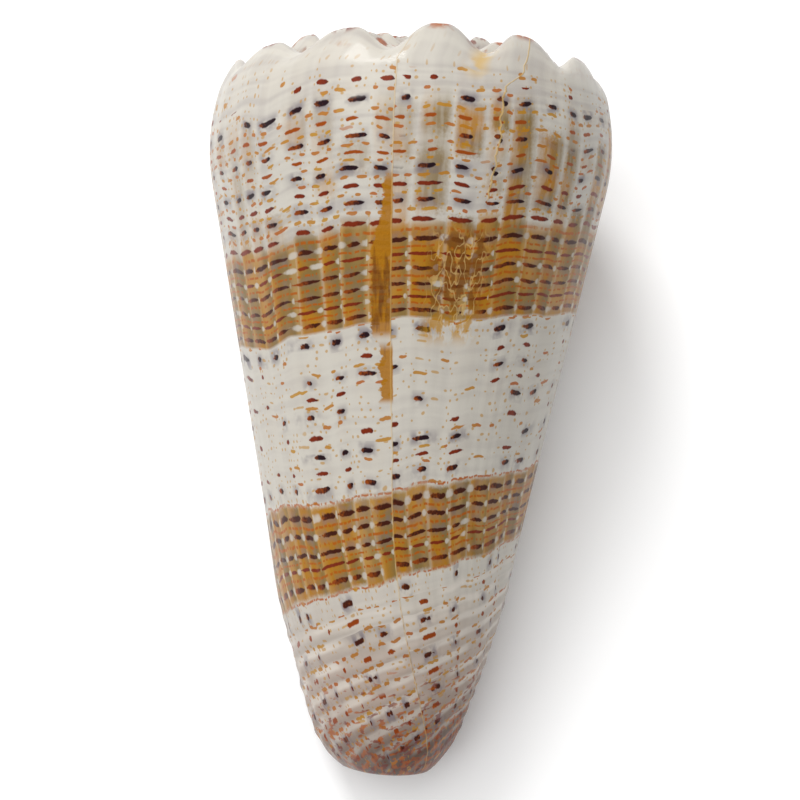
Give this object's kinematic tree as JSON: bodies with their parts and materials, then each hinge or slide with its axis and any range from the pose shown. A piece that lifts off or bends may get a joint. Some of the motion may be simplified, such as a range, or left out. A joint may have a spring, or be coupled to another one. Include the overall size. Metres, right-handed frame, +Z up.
{
  "type": "cone shell",
  "caption": "Cone-shaped sea shell with a knobbed crown, dashed spiral rows in dark bands and a narrow mouth, lying mouth down.",
  "frame": {"origin": "middle of the bounding box in X and Y, on the surface the shell lies on", "axes": "+Z up; +Y towards the spire, with the shell's own axis rising about 12 degrees from the surface towards +Y; the mouth faces down"},
  "size_m": [0.0412, 0.075, 0.039],
  "materials": {
    "shell": "satin"
  },
  "bodies": {
    "root": {"shell": "shell"}
  },
  "joints": []
}
